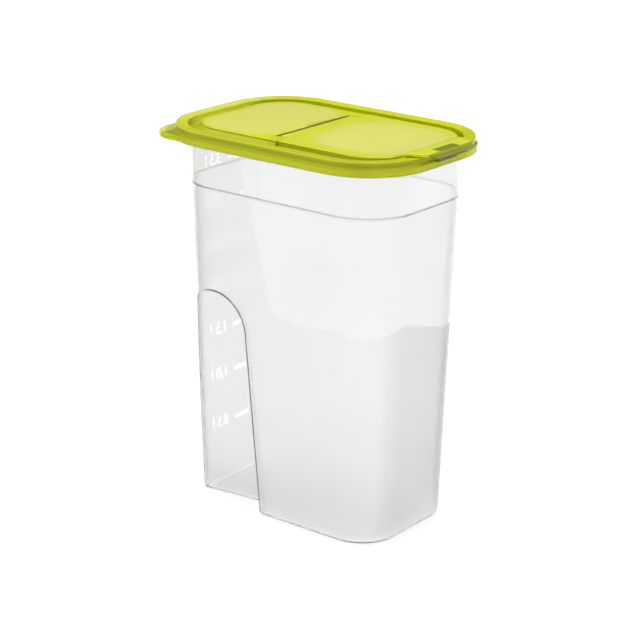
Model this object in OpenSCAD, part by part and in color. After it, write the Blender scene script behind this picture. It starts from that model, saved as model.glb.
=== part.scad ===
// Cereal container with a flip spout: a tapered storage box with a grip on
// each side, a press-on lid and a hinged flap over the pouring opening.
// +X is the spout end, -X the grip end, the base stands on Z = 0.

/* [Body] */
// Length of the base, spout end to grip end
base_l = 159.4; // [130:0.2:200]
// Width of the base
base_w = 97.4; // [86:0.2:130]
// Corner radius of the base
base_r = 28.1; // [20:0.1:34]
// Outward lean of the end walls, mm per mm of height
lean_l = 0.0288; // [0.005:0.0001:0.05]
// Outward lean of the long walls, mm per mm of height
lean_w = 0.0337; // [0.005:0.0001:0.05]
// Growth of the corner radius, mm per mm of height
lean_r = 0.0282; // [0:0.0001:0.04]
// Wall thickness of the container
wall = 1.2; // [0.8:0.1:1.8]
// Floor thickness
floor_t = 1.6; // [1:0.1:3]
// Radius round the bottom edge
foot_r = 3.4; // [1.5:0.1:6]
// Drop from the top edge of the container to the small ledge round the walls
step_drop = 38; // [25:1:60]
// Outward size of the small ledge
step_out = 0.8; // [0.4:0.1:1.6]

/* [Rim] */
// Height of the top edge of the container
rim_z = 263; // [200:0.5:320]
// Height of the upright part of the rim
rim_h = 9.7; // [8:0.1:12]
// Outward reach of the container rim
rim_out = 5.0; // [4:0.1:5.4]
// Outward reach of the snap bead on the rim
bead_out = 1.3; // [0.6:0.1:1.4]
// Drop from the top edge of the container to the snap bead
bead_drop = 4.4; // [3.6:0.1:5]

/* [Grips] */
// Width of the neck between the two grips, at its front end
grip_w = 65; // [54:0.5:74]
// Turn of the grip walls in plan, mm per mm
grip_turn = 0.12; // [0.04:0.01:0.16]
// Outward lean of the grip walls, mm per mm of height
grip_lean = 0.082; // [0.05:0.001:0.1]
// Slope of the side of a grip, mm per mm of depth
grip_slope = 0.45; // [0.2:0.01:0.6]
// Distance from the grip end of the base to the centre of the grip arch
grip_in = 28.2; // [22:0.1:36]
// Radius of the grip arch
grip_r = 27; // [22:0.5:29]
// Height of the centre of the grip arch
grip_z = 127.2; // [100:0.1:150]
// Splay of the legs of the arch, mm per mm of height
grip_splay = 0.077; // [0.02:0.001:0.1]

/* [Volume marks] */
// Drop from the top edge of the container to the highest mark
mark_drop = 32.4; // [20:0.1:60]
// Fall from each mark to the next, from the top down
mark_fall = [28.7, 29.7, 30.6, 32, 32.8, 36.2];
// Length of a mark
mark_l = 14; // [8:0.5:18]
// Thickness of a mark
mark_t = 1.8; // [1:0.1:3]
// Height of the relief
mark_out = 0.4; // [0.2:0.1:0.8]
// Distance of a mark from the middle of the end wall
mark_y = 4; // [2:0.5:8]

/* [Lid] */
// Offset of the inner edge of the lid rim from the neck of the container, lengthwise
ring_l = -0.2; // [-0.5:0.1:0.5]
// Offset of the inner edge of the lid rim from the neck of the container, across
ring_w = 0.46; // [0:0.02:0.8]
// Wall thickness of the lid
lid_t = 1.4; // [1:0.1:1.8]
// Width of the raised rim, inner edge to outer wall
lid_rim = 8.1; // [7.9:0.1:9]
// Outward step from the raised rim to the skirt
skirt_out = 1.4; // [1:0.1:2]
// Gap from the top edge of the container to the rim of the lid over it
lid_seat = 0.8; // [0.5:0.05:1.2]
// Rise of the rim of the lid over the shoulder of the skirt
rim_rise = 4; // [3.4:0.1:5]
// Height of the skirt, lower edge to shoulder
skirt_h = 5.5; // [4.6:0.1:7]
// Fall of the raised rim towards its inner edge
rim_fall = 0.4; // [0:0.1:0.8]
// Drop from the top of the lid to the deck under the flap
deck_drop = 5; // [4.4:0.1:6]
// Drop from the top of the lid to the rear panel
panel_drop = 0.4; // [0:0.1:1]
// Width of the channel round the rear panel
channel = 9.3; // [8:0.1:11]
// Height of the upright edge of the rear panel
panel_edge = 1.1; // [0.6:0.1:2]
// Distance from the middle of the lid to the front of the rear panel
panel_x = -9; // [-14:0.1:-6]
// Width of a hinge ear, from the side of the flap inwards
ear_w = 11.2; // [8:0.1:16]
// Thickness of the cheek of a hinge ear
ear_t = 4.6; // [3.6:0.1:6]
// Front face of the hinge ears
ear_x = 0; // [-1.5:0.1:1.5]

/* [Pouring opening] */
// Distance from the hinge ears to the rear end of the opening
pour_rear = 12; // [8:0.5:18]
// Distance from the front of the flap to the front end of the opening
pour_front = 17; // [10:0.5:26]
// Distance from the side of the flap to the opening
pour_side = 11.2; // [8:0.1:21]
// Corner radius of the opening
pour_r = 18; // [8:0.5:22]
// Height of the collar round the opening, over the deck
collar_h = 2.4; // [1.6:0.1:2.7]
// Thickness of the collar
collar_t = 1.2; // [0.8:0.1:1.6]

/* [Opening tab] */
// Corner radius of the lid at the opening tab
tab_r = 22; // [16:0.5:28]
// Thickness of the tab
tab_t = 1.3; // [1:0.1:1.8]
// Depth of the turned-down edge of the tab
tab_h = 3; // [2:0.1:3.6]

/* [Flap] */
// Thickness of the plate of the flap
flap_t = 1.5; // [1.2:0.1:1.8]
// Radius of the front corners of the flap
flap_r = 30; // [24:0.5:34]
// Gap from the front of the flap to the rim
flap_gap = 0.7; // [0.5:0.1:1.5]
// Thickness of the edge wall of the flap
edge_t = 1.3; // [1:0.1:1.6]
// Running gap between the flap and the lid
gap = 0.5; // [0.4:0.05:0.7]
// Gap between the sealing rib and the opening
rib_gap = 0.35; // [0.3:0.05:0.5]
// Thickness of the sealing rib
rib_t = 1.2; // [0.8:0.1:1.6]
// Reach of the sealing rib below the deck surface
rib_dip = 0.8; // [0.2:0.1:1]

/* [Hinge] */
// Radius of the hinge barrel at the rear of the flap
barrel_r = 2.3; // [2.1:0.05:2.4]
// Radius of the hinge pins
pin_r = 1.2; // [1:0.05:1.3]
// Length of a hinge pin past the barrel
pin_l = 4; // [2.5:0.1:5]
// Running clearance of a pin, on the radius
pin_gap = 0.06; // [0.04:0.01:0.08]

/* [Thumb lip] */
// Half width of the lip at its root
lip_b0 = 29.5; // [24:0.5:32]
// Half width of the lip at its front edge
lip_b1 = 21; // [16:0.5:24]
// Reach of the lip past the skirt of the lid
lip_out = 6.9; // [5:0.1:9]
// Thickness of the lip
lip_t = 1.8; // [1.4:0.1:2.4]
// Gap from the lip to the rim under it
lip_gap = 0.4; // [0.35:0.05:0.8]
// Depth of the turned-down front edge of the lip
lip_h = 3.3; // [2:0.1:4]
// Width of the latch tongue
latch_w = 20; // [12:0.5:26]
// Reach of the latch tongue below the lip
latch_h = 8.3; // [6:0.1:9]
// Thickness of the latch tongue
latch_t = 1.6; // [1.2:0.1:2]
// Gap from the latch tongue to the skirt
latch_gap = 0.45; // [0.4:0.05:0.8]
// Half width of the locating pad under the lip
pad_b = 11.5; // [8:0.5:14]
// Depth of the locating pad
pad_h = 0.7; // [0.4:0.1:0.8]

/* [Hidden] */
N = 12;                 // steps round each quarter corner
far = base_l + base_w + rim_z;  // larger than the part

// Heights, all measured down from the top edge of the container or the lid
step_z = rim_z - step_drop;
neck_z = rim_z - rim_h;
bead_z = rim_z - bead_drop;
lid_top = rim_z + lid_seat + lid_t;
skirt_z1 = lid_top - rim_rise;
skirt_z0 = skirt_z1 - skirt_h;
deck_z = lid_top - deck_drop;
panel_z = lid_top - panel_drop;

// The neck of the container, and the lid over it
neck_l = base_l / 2 + lean_l * neck_z + step_out;
neck_w = base_w / 2 + lean_w * neck_z + step_out;
neck_r = base_r + lean_r * neck_z + step_out;
ring_a = neck_l + ring_l;
ring_b = neck_w + ring_w;
ring_r = neck_r + ring_w;
skirt_d = lid_rim + skirt_out;
panel_d = -channel;
grip_x = grip_in - base_l / 2;
hinge_x = panel_x + gap + barrel_r;
flap_top = deck_z + lip_gap + 2 * barrel_r;
hinge_z = flap_top - barrel_r;
flap_a = ring_a - flap_gap;
flap_b = ring_b - channel;
ear_y = flap_b - ear_w;
flap_x0 = ear_x + gap + 0.2;
lip_z0 = lid_top + lip_gap;
lip_z1 = lip_z0 + lip_t;
lip_x1 = ring_a + skirt_d + lip_out;
lip_x0 = ring_a + lid_rim / 2 - lip_t * 2;
latch_x = ring_a + skirt_d + latch_gap;
pour_x0 = ear_x + pour_rear;
pour_x1 = flap_a - pour_front;
pour_b = flap_b - pour_side;
pour_a = (pour_x1 - pour_x0) / 2;
pour_c = (pour_x1 + pour_x0) / 2;
under = deck_z - lid_t;

// Points of a rounded rectangle, half sizes a and b, radius r, at height z
function rr(a, b, r, z) = [for (q = [0:3]) for (i = [0:N])
    let (t = 90 * (q + i / N), sx = (q == 0 || q == 3) ? 1 : -1, sy = q < 2 ? 1 : -1)
    [sx * (a - r) + r * cos(t), sy * (b - r) + r * sin(t), z]];
function rr2(a, b, r) = [for (p = rr(a, b, r, 0)) [p[0], p[1]]];
// The outline of the walls at height z, moved outwards by e
function walls(z, e) = rr(base_l / 2 + lean_l * z + e, base_w / 2 + lean_w * z + e,
    base_r + lean_r * z + e, z);
// The outline of the neck, moved outwards by e, at height z
function neck(e, z) = rr(neck_l + e, neck_w + e, neck_r + e, z);
// The outline of the lid rim, moved outwards by e
function lid_ring(e, z) = rr(ring_a + e, ring_b + e, ring_r + e, z);

// A solid through a stack of rings, from the bottom one to the top one
module skin(rings) {
    m = len(rings[0]); k = len(rings);
    polyhedron(points = [for (r = rings) each r],
        faces = concat([[for (i = [0:m-1]) i]],
            [for (j = [0:k-2]) for (i = [0:m-1]) let (n = (i + 1) % m)
                [j*m + i, (j+1)*m + i, (j+1)*m + n, j*m + n]],
            [[for (i = [m-1:-1:0]) (k-1)*m + i]]), convexity = 6);
}
// A closed section [offset, height] swept once round the lid
module around(sec) {
    k = len(sec); m = 4 * (N + 1);
    polyhedron(points = [for (s = sec) each lid_ring(s[0], s[1])],
        faces = [for (j = [0:k-1]) for (i = [0:m-1]) let (n = (i + 1) % m, u = (j + 1) % k)
            [j*m + i, u*m + i, u*m + n, j*m + n]], convexity = 8);
}
module slab(pts, z0, z1) { translate([0, 0, z0]) linear_extrude(z1 - z0) polygon(pts); }
module box(x0, x1, y0, y1, z0, z1) { translate([x0, y0, z0]) cube([x1 - x0, y1 - y0, z1 - z0]); }

// The arch of a grip in the plane of the wall: [x, z, normal x, normal z]
arch_t = atan(grip_splay);
arch_n = 20;
arch_low = -20;
function arch() = concat(
    [[grip_x + (grip_r + (grip_z - arch_low) * grip_splay) / cos(arch_t), arch_low, cos(arch_t), sin(arch_t)]],
    [for (i = [0:arch_n]) let (t = arch_t + (180 - 2 * arch_t) * i / arch_n)
        [grip_x + grip_r * cos(t), grip_z + grip_r * sin(t), cos(t), sin(t)]],
    [[grip_x - (grip_r + (grip_z - arch_low) * grip_splay) / cos(arch_t), arch_low, -cos(arch_t), sin(arch_t)]]);
function face_y(z) = base_w / 2 + lean_w * z;
function grip_y(x, z) = grip_w / 2 + grip_turn * (grip_x + 0.72 * grip_r - x) + grip_lean * z;
// The space of one grip, grown by g on every side
module grip(side, g) {
    p = arch(); m = len(p); out = face_y(rim_z) + 20;
    // depth of the grip behind the face, at an arch point
    inner = [for (q = p) let (d = max(face_y(q[1]) - grip_y(q[0], q[1]), 0.5) + g,
        x = q[0] + q[2] * (g - grip_slope * d), z = q[1] + q[3] * (g - grip_slope * d))
        [x, side * (grip_y(x, z) - g), z]];
    outer = [for (q = p) let (d = out - face_y(q[1]))
        [q[0] + q[2] * (g + grip_slope * d), side * out, q[1] + q[3] * (g + grip_slope * d)]];
    pts = concat(inner, outer);
    cap0 = [for (i = [0:m-1]) i];
    cap1 = [for (i = [m-1:-1:0]) m + i];
    sides = [for (i = [0:m-1]) let (n = (i + 1) % m) [i, m + i, m + n, n]];
    f = concat([cap0], [cap1], sides);
    polyhedron(points = pts, faces = side > 0 ? [for (s = f) [for (i = [len(s)-1:-1:0]) s[i]]] : f, convexity = 4);
}

// Height of volume mark i, counted from the top
function mark_h(i) = i == 0 ? rim_z - mark_drop : mark_h(i - 1) - mark_fall[i - 1];
module mark(z) {
    x = -(base_l / 2 + lean_l * z) - (z > step_z ? step_out : 0);
    box(x - mark_out, x + wall / 2, mark_y, mark_y + mark_l, z - mark_t / 2, z + mark_t / 2);
}

module container() {
    rc = [for (t = [0:30:90]) [foot_r * (1 - cos(t)), -foot_r * (1 - sin(t))]];
    ri = [for (t = [0:30:90]) [floor_t + foot_r * (1 - cos(t)), -wall - foot_r * (1 - sin(t))]];
    color([0.93, 0.94, 0.95, 0.6]) union() {
        difference() {
            skin(concat([for (c = rc) walls(c[0], c[1])],
                [walls(step_z, 0), walls(step_z + step_out, step_out), neck(0, neck_z),
                 neck(rim_out - 0.6, neck_z + 1.0), neck(rim_out, neck_z + 1.6),
                 neck(rim_out, bead_z - bead_out), neck(rim_out + bead_out, bead_z),
                 neck(rim_out, bead_z + bead_out), neck(rim_out, rim_z - 0.4), neck(rim_out - 0.4, rim_z)]));
            difference() {
                skin(concat([for (c = ri) walls(c[0], c[1])],
                    [walls(step_z + wall / 2, -wall), walls(step_z + wall / 2 + step_out, step_out - wall),
                     neck(-wall, neck_z + wall), neck(rim_out - wall, neck_z + wall + 1.4),
                     neck(rim_out - wall, rim_z + 1)]));
                grip(-1, wall);
                grip(1, wall);
            }
            grip(-1, 0);
            grip(1, 0);
        }
        for (i = [0:len(mark_fall)]) mark(mark_h(i));
    }
}

// Section of the raised rim with its skirt, and of the ramp round the rear panel
module lid_rim_ring() {
    rim_i = lid_top - rim_fall;
    around([[skirt_d - lid_t, skirt_z0], [skirt_d, skirt_z0], [skirt_d, skirt_z1 - 1.2],
        [skirt_d - 0.4, skirt_z1 - 0.4], [skirt_d - 1.1, skirt_z1], [lid_rim + 0.1, skirt_z1 + 0.3],
        [lid_rim, lid_top - 0.7], [lid_rim - 0.6, lid_top], [0.6, rim_i], [0, rim_i - 0.6],
        [0, under], [lid_t - 0.1, under], [lid_t - 0.1, rim_i - lid_t], [lid_rim - lid_t, rim_z + 0.35],
        [lid_rim - lid_t, skirt_z1 + 0.2], [skirt_d - lid_t, skirt_z1 - 1.5]]);
}
module lid_ramp() {
    intersection() {
        around([[0.6, under], [0.6, deck_z], [-1, deck_z], [panel_d, panel_z - panel_edge],
            [panel_d, panel_z], [panel_d - 3, panel_z], [panel_d - 3, panel_z - lid_t],
            [panel_d - 0.4, panel_z - panel_edge - lid_t], [-1.6, under]]);
        box(-far, ear_x, -far, far, 0, far * 2);
    }
}
module lid() {
    a = ring_a + panel_d; b = ring_b + panel_d; r = ring_r + panel_d;
    color([0.76, 0.82, 0.1]) difference() {
        union() {
            lid_rim_ring();
            lid_ramp();
            // rear panel with its two ears
            intersection() {
                slab(rr2(a - 1, b - 1, r - 1), panel_z - lid_t, panel_z);
                union() {
                    box(-far, panel_x, -far, far, 0, far * 2);
                    for (s = [-1, 1]) box(-far, ear_x, s > 0 ? ear_y : -far, s > 0 ? far : -ear_y, 0, far * 2);
                }
            }
            // step from the panel down to the deck
            box(panel_x - lid_t, panel_x, -ear_y - 1, ear_y + 1, under, panel_z);
            for (s = [-1, 1]) {
                box(panel_x - lid_t, ear_x, s > 0 ? ear_y : -ear_y - ear_t, s > 0 ? ear_y + ear_t : -ear_y, under, panel_z);
                box(ear_x - lid_t, ear_x, s > 0 ? ear_y : -b + 1, s > 0 ? b - 1 : -ear_y, under, panel_z);
            }
            // deck, collar round the opening
            intersection() {
                slab(rr2(ring_a + 0.6, ring_b + 0.6, ring_r + 0.6), under, deck_z);
                box(panel_x - lid_t, far, -far, far, 0, far * 2);
            }
            translate([pour_c, 0, 0])
                slab(rr2(pour_a + collar_t, pour_b + collar_t, pour_r + collar_t), deck_z - 0.4, deck_z + collar_h);
            opening_tab();
        }
        translate([pour_c, 0, 0]) slab(rr2(pour_a, pour_b, pour_r), under - 1, deck_z + collar_h + 1);
        // sockets of the hinge pins
        for (s = [-1, 1]) translate([hinge_x, s * (ear_y + ear_t / 2 - 0.5), hinge_z])
            rotate([90, 0, 0]) cylinder(r = pin_r + pin_gap, h = pin_l + 1.4 - 0.4, center = true, $fn = 48);
        // seat of the locating pad in the rim
        box(ring_a + lid_rim / 2 - 1.6, ring_a + lid_rim - 1.2, -pad_b - gap, pad_b + gap,
            lip_z0 - pad_h - lip_gap, lip_z0);
    }
}
// Corner of the lid squared off as a tab to lift it by
module opening_tab() {
    d = skirt_d; z1 = skirt_z1 - 0.9;
    intersection() {
        difference() {
            slab(rr2(ring_a + d, ring_b + d, tab_r), z1 - tab_h, z1);
            slab(rr2(ring_a + d - lid_t, ring_b + d - lid_t, ring_r + d - lid_t), z1 - tab_h - 1, z1 + 1);
            difference() {
                slab(rr2(ring_a + d - tab_t, ring_b + d - tab_t, tab_r - tab_t), z1 - tab_h - 1, z1 - tab_t);
                slab(rr2(ring_a + d - 0.2, ring_b + d - 0.2, ring_r + d - 0.2), z1 - tab_h - 2, z1 + 1);
            }
        }
        box(-far, 0, -far, 0, 0, far * 2);
    }
}

function flap_outline(e) = let (a = flap_a - e, b = flap_b - e, r = flap_r - e)
    concat([for (i = [0:N]) let (t = -90 + 90 * i / N) [a - r + r * cos(t), -(b - r) + r * sin(t)]],
        [for (i = [0:N]) let (t = 90 * i / N) [a - r + r * cos(t), b - r + r * sin(t)]]);
module flap() {
    skirt_bottom = deck_z + gap + 0.2;
    plate_z0 = flap_top - flap_t;
    color([0.78, 0.84, 0.12]) union() {
        // plate, with its tongue between the ears
        slab(concat([[flap_x0, -flap_b]], flap_outline(0), [[flap_x0, flap_b]]), plate_z0, flap_top);
        box(hinge_x, flap_x0 + 1, -ear_y + gap, ear_y - gap, plate_z0, flap_top);
        // edge wall
        difference() {
            slab(concat([[flap_x0, -flap_b]], flap_outline(0), [[flap_x0, flap_b]]), skirt_bottom, plate_z0 + 0.5);
            slab(concat([[-far, -flap_b + edge_t]], flap_outline(edge_t), [[-far, flap_b - edge_t]]),
                skirt_bottom - 1, plate_z0 + 1);
        }
        // sealing rib that dips into the opening
        translate([pour_c, 0, 0]) difference() {
            slab(rr2(pour_a - rib_gap, pour_b - rib_gap, pour_r - rib_gap), deck_z - rib_dip, plate_z0 + 0.5);
            slab(rr2(pour_a - rib_gap - rib_t, pour_b - rib_gap - rib_t, pour_r - rib_gap - rib_t),
                deck_z - rib_dip - 1, plate_z0 + 1);
        }
        // barrel and pins
        translate([hinge_x, 0, hinge_z]) rotate([90, 0, 0]) {
            cylinder(r = barrel_r, h = 2 * (ear_y - gap), center = true, $fn = 64);
            cylinder(r = pin_r, h = 2 * (ear_y - gap + pin_l), center = true, $fn = 48);
        }
        thumb_lip();
    }
}
module thumb_lip() {
    c = 4;      // radius of the front corners of the lip
    root = flap_a - 7;
    tip = [for (i = [0:6]) let (t = -75 + 75 * i / 6) [lip_x1 - c + c * cos(t), -(lip_b1 - c) + c * sin(t)]];
    plan = concat([[root, -lip_b0 - 1], [lip_x0 - 3, -lip_b0]], tip,
        [for (i = [6:-1:0]) [tip[i][0], -tip[i][1]]], [[lip_x0 - 3, lip_b0], [root, lip_b0 + 1]]);
    slab(plan, lip_z0, lip_z1);
    // riser from the plate up to the lip
    intersection() {
        slab(plan, flap_top - flap_t, lip_z1);
        box(root, flap_a, -far, far, 0, far * 2);
    }
    // turned-down front edge
    intersection() {
        slab(plan, lip_z1 - lip_h, lip_z1);
        box(lip_x1 - lip_t, far, -far, far, 0, far * 2);
    }
    // latch tongue over the skirt, with a round end
    translate([latch_x, 0, 0]) rotate([90, 0, 90]) linear_extrude(latch_t) union() {
        translate([-latch_w / 2, lip_z1 - 0.5 - latch_h + 3]) square([latch_w, latch_h - 3]);
        translate([-latch_w / 2 + 3, lip_z1 - 0.5 - latch_h]) square([latch_w - 6, 4]);
        for (s = [-1, 1]) translate([s * (latch_w / 2 - 3), lip_z1 - 0.5 - latch_h + 3]) circle(r = 3, $fn = 32);
    }
    // locating pad
    box(ring_a + lid_rim / 2 - 1.1, ring_a + lid_rim - 1.8, -pad_b, pad_b, lip_z0 - pad_h, lip_z0 + 0.5);
}

container();
lid();
flap();
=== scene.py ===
# %% [markdown]
# # A cereal container with a flip spout, modelled in Blender
# The object has three mouldings: a tall container of milky clear plastic, a lime lid pressed onto its rim, and a flap
# that turns up over the pouring opening. Each cell makes one of them, or one finish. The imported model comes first,
# because every piece has to sit in its frame and ride on one of its bodies.

# %% Load the frame
from math import cos, radians, sin
import bmesh
import bpy
import numpy as np
from mathutils import Matrix


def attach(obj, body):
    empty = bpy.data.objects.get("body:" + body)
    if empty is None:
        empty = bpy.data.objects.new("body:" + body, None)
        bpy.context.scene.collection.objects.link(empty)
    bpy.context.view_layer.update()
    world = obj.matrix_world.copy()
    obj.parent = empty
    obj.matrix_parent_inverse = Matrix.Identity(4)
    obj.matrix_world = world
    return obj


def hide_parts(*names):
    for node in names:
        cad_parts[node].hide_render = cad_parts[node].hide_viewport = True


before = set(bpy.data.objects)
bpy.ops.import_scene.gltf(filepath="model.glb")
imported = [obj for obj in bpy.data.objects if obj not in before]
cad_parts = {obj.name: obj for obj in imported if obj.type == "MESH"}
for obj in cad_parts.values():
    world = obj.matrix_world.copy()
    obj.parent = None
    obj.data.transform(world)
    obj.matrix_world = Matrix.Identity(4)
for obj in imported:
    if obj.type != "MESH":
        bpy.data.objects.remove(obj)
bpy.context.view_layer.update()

MM = 0.001

# %% [markdown]
# ## The camera
# A long lens from about 1.4 m keeps the tall sides nearly parallel. The place and the turn are written as a matrix,
# because a camera aimed by hand never repeats exactly. The two small shifts centre the frame.

# %% Camera
def add_object(name, data):
    """A new object with this data, linked to the scene."""
    made = bpy.data.objects.new(name, data)
    bpy.context.scene.collection.objects.link(made)
    return made


azimuth, elevation, roll = 0.6615, 0.3239, 0.0124
aim_height, distance = 0.1355, 1.39446
back = np.array([sin(azimuth) * cos(elevation), -cos(azimuth) * cos(elevation), sin(elevation)])
right = np.array([cos(azimuth), sin(azimuth), 0.0])
above = np.cross(back, right)
right, above = cos(roll) * right + sin(roll) * above, -sin(roll) * right + cos(roll) * above
turn = np.eye(4)
turn[:3] = np.stack([right, above, back, np.array([0, 0, aim_height]) + distance * back], 1)
camera = add_object("camera", bpy.data.cameras.new("camera"))
camera.matrix_world = Matrix(turn.tolist())
camera.data.lens, camera.data.sensor_width = 115.953, 36.0
camera.data.shift_x, camera.data.shift_y = -0.00326, -0.00885
camera.data.clip_start, camera.data.clip_end = 0.05, 20.0
bpy.context.scene.camera = camera

# %% [markdown]
# ## Helpers for surfaces on a grid
# A moulding is a few sheets of points, worked out as whole arrays. All three mouldings are the same on both sides of
# the plane y = 0, so only the near half is worked out, and a mirrored copy closes it. Points that fall on each other
# are merged at the end, and the normals are then turned outwards in one go, which works because every piece is a closed
# solid.

# %% Grid helpers
def sheet_faces(rows, columns, first=0):
    """Quads between neighbouring points of a rows x columns sheet whose first point has the number first."""
    number = first + np.arange(rows * columns).reshape(rows, columns)
    return np.stack([number[:-1, :-1], number[1:, :-1], number[1:, 1:], number[:-1, 1:]], -1).reshape(-1, 4)


def join_sheets(sheets):
    """Stacks sheets of shape (rows, columns, 3) into one list of points and one of quads."""
    starts = np.cumsum([0] + [sheet[..., 0].size for sheet in sheets])
    faces = [sheet_faces(*sheet.shape[:2], start) for sheet, start in zip(sheets, starts)]
    return np.concatenate([sheet.reshape(-1, 3) for sheet in sheets]), np.concatenate(faces)


def merge_points(points):
    """Points that agree to a ten-thousandth of a millimetre become one. Gives the number of the first point of each,
    and for every point the number of the one it becomes."""
    _, first, same = np.unique(np.round(points, 4), axis=0, return_index=True, return_inverse=True)
    return first, same.reshape(-1)


def finish_piece(name, mesh, shape):
    """Writes a bmesh into the mesh of a new smooth object, and prints how many edges do not join two faces."""
    for face in shape.faces:
        face.smooth = True
    open_edges = sum(1 for edge in shape.edges if len(edge.link_faces) != 2)
    shape.to_mesh(mesh)
    shape.free()
    print(name, len(mesh.polygons), "faces, open edges", open_edges)
    return add_object(name, mesh)


def final_mesh(source):
    """The mesh of an object with its modifiers applied, or of a text."""
    bpy.context.view_layer.update()
    return bpy.data.meshes.new_from_object(source.evaluated_get(bpy.context.evaluated_depsgraph_get()))


def make_piece(name, points, faces, mirror=True, caps=(), frost=None):
    """A mesh object from points in millimetres, quads and flat caps. The mirrored half, the merge and the outward
    normals come here. A quad that lost a side in the merge is kept as a triangle. frost is a value for each point."""
    if mirror:
        count = len(points)
        points = np.concatenate([points, points * [1, -1, 1]])
        faces = np.concatenate([faces, faces[:, ::-1] + count])
        caps = [*caps, *(cap[::-1] + count for cap in caps)]
    first, same = merge_points(points)
    polygons = []
    for face in same[faces].tolist() + [same[cap].tolist() for cap in caps]:
        corner = [c for i, c in enumerate(face) if c != face[i - 1]]
        if len(set(corner)) > 2:
            polygons.append(corner)
    mesh = bpy.data.meshes.new(name)
    mesh.from_pydata((points[first] * MM).tolist(), [], polygons)
    if frost is not None:
        values = np.tile(frost, 2 if mirror else 1)[first].astype(np.float32)
        mesh.attributes.new("frost", "FLOAT", "POINT").data.foreach_set("value", values)
    shape = bmesh.new()
    shape.from_mesh(mesh)
    bmesh.ops.recalc_face_normals(shape, faces=shape.faces)
    return finish_piece(name, mesh, shape)


def strips(top, low, *sides):
    """Strips that join two sheets along some of their sides, each named by its index."""
    return [np.stack([top[side], low[side]]) for side in sides]


def spread(knots, counts):
    """Values from knot to knot, as many in each stretch as counts says, with both its ends."""
    parts = [np.linspace(start, end, count)[:-1] for start, end, count in zip(knots, knots[1:], counts)]
    return np.concatenate(parts + [knots[-1:]])


def point_normals(points, faces):
    """Normals at the points of an open sheet: the mean of the normals of the quads round each, by area."""
    a, b, c, d = (points[faces[:, i]] for i in range(4))
    flat = np.cross(c - a, d - b)
    total = np.zeros_like(points)
    for i in range(4):
        np.add.at(total, faces[:, i], flat)
    total[np.abs(points[:, 1]) < 1e-6, 1] = 0
    return total / np.maximum(np.linalg.norm(total, axis=1, keepdims=True), 1e-12)


def ease(t):
    """Goes from 0 to 1 with level ends: 3 t^2 - 2 t^3, t held between 0 and 1."""
    t = np.clip(t, 0, 1)
    return t * t * (3 - 2 * t)


def soft_min(a, b, k):
    """The smaller of two values, rounded off where they are less than k apart: min - k/4 (1 - |a-b|/k)^2."""
    h = np.maximum(k - np.abs(a - b), 0) / k
    return np.minimum(a, b) - h * h * k / 4


# %% [markdown]
# ## The container
# It is a tapered box with round corners, a small ledge near the top, a turned-out rim, and a deep recess on each side
# to grip it by. A boolean of a box and a cutter would leave ragged edges where the recess runs out into the round
# corner. So the recess is worked out as a height over the wall: the wall stands at the smaller of the half widths of
# body and neck, and where the two are close it is rounded off, which gives the edge of the arch its moulded radius. The
# grid follows the arch, with rows on its legs and rays round its crown.

# %% Outline of the walls
base_a, base_b, base_r = 79.7, 48.7, 28.1  # half length, half width and corner radius of the base
lean_a, lean_b, lean_r = 0.0288, 0.0337, 0.0282  # their growth per millimetre of height
foot, step_z, neck_z, wall, floor = 3.4, 225.0, 253.3, 1.2, 1.6


def wall_sizes(z, out):
    """Half length, half width and corner radius of the walls at height z, grown by out: size + lean * z + out."""
    z = np.minimum(z, neck_z)
    return base_a + lean_a * z + out, base_b + lean_b * z + out, base_r + lean_r * z + out


def outline_xy(a, b, r, q):
    """x and half width on the near half of a rounded rectangle of half sizes a and b and corner radius r. q runs 0-1
    over the front, 1-2 round the front corner, 2-3 along the side, 3-4 round the rear corner and 4-5 over the rear."""
    t = np.clip(q - np.arange(5.0).reshape((5,) + (1,) * np.ndim(q)), 0, 1)
    angle = (t[1] + t[3]) * np.pi / 2
    return (a - r) * (1 - 2 * t[2]) + r * np.cos(angle), (b - r) * (t[0] - t[4]) + r * np.sin(angle)


def half_width(x, z, out):
    """Half width behind the front corner: b on the flat, b - r + sqrt(r^2 - (x + a - r)^2) round the rear corner."""
    a, b, r = wall_sizes(z, out)
    return b - r + np.sqrt(np.maximum(r * r - np.minimum(x + a - r, 0) ** 2, 0))


def outline_place(x, z, out):
    """The q of outline_xy at x, on the side and round the rear corner."""
    a, b, r = wall_sizes(z, out)
    flat = a - r
    return np.where(x > -flat, 2 + (flat - x) / (2 * flat), 3 + np.arcsin(np.clip((-flat - x) / r, 0, 1)) / (np.pi / 2))


# %% Shape of the grip recess
grip_x, grip_z, grip_r, splay, slope = -51.5, 127.2, 27.0, 0.077, 0.45
crown_flat = 0.08  # the crown is this much wider where it meets the legs
foot_round, edge_round = 5.5, 3.2  # softness of the foot of the sloping wall and of its upper edge


def neck_width(x, z):
    """Half width of the neck between the two recesses: a plane that leans out by 0.082 and turns by 0.12."""
    return 32.5 + 0.12 * (-32.06 - x) + 0.082 * z


def recess_width(x, z, past):
    """Half width inside a recess: the neck, and a sloping wall that rises 1/slope for each millimetre past its foot,
    with a rounded foot."""
    rise = past / slope
    h = np.maximum(foot_round - np.abs(rise), 0) / foot_round
    return neck_width(x, z) + np.maximum(rise, 0) + h * h * foot_round / 4


def wall_gap(x, z, out, past):
    """How far the body stands out over the sharp form of the recess, past millimetres past the foot of its wall."""
    return half_width(x, z, out) - neck_width(x, z) - out - np.maximum(past, 0) / slope


def wall_foot(half, x, z):
    """Distance from the middle of the arch to the foot of the sloping wall, whose upper edge is at distance half."""
    return half - slope * np.maximum(base_b + lean_b * z - neck_width(x, z), 0.5)


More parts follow.
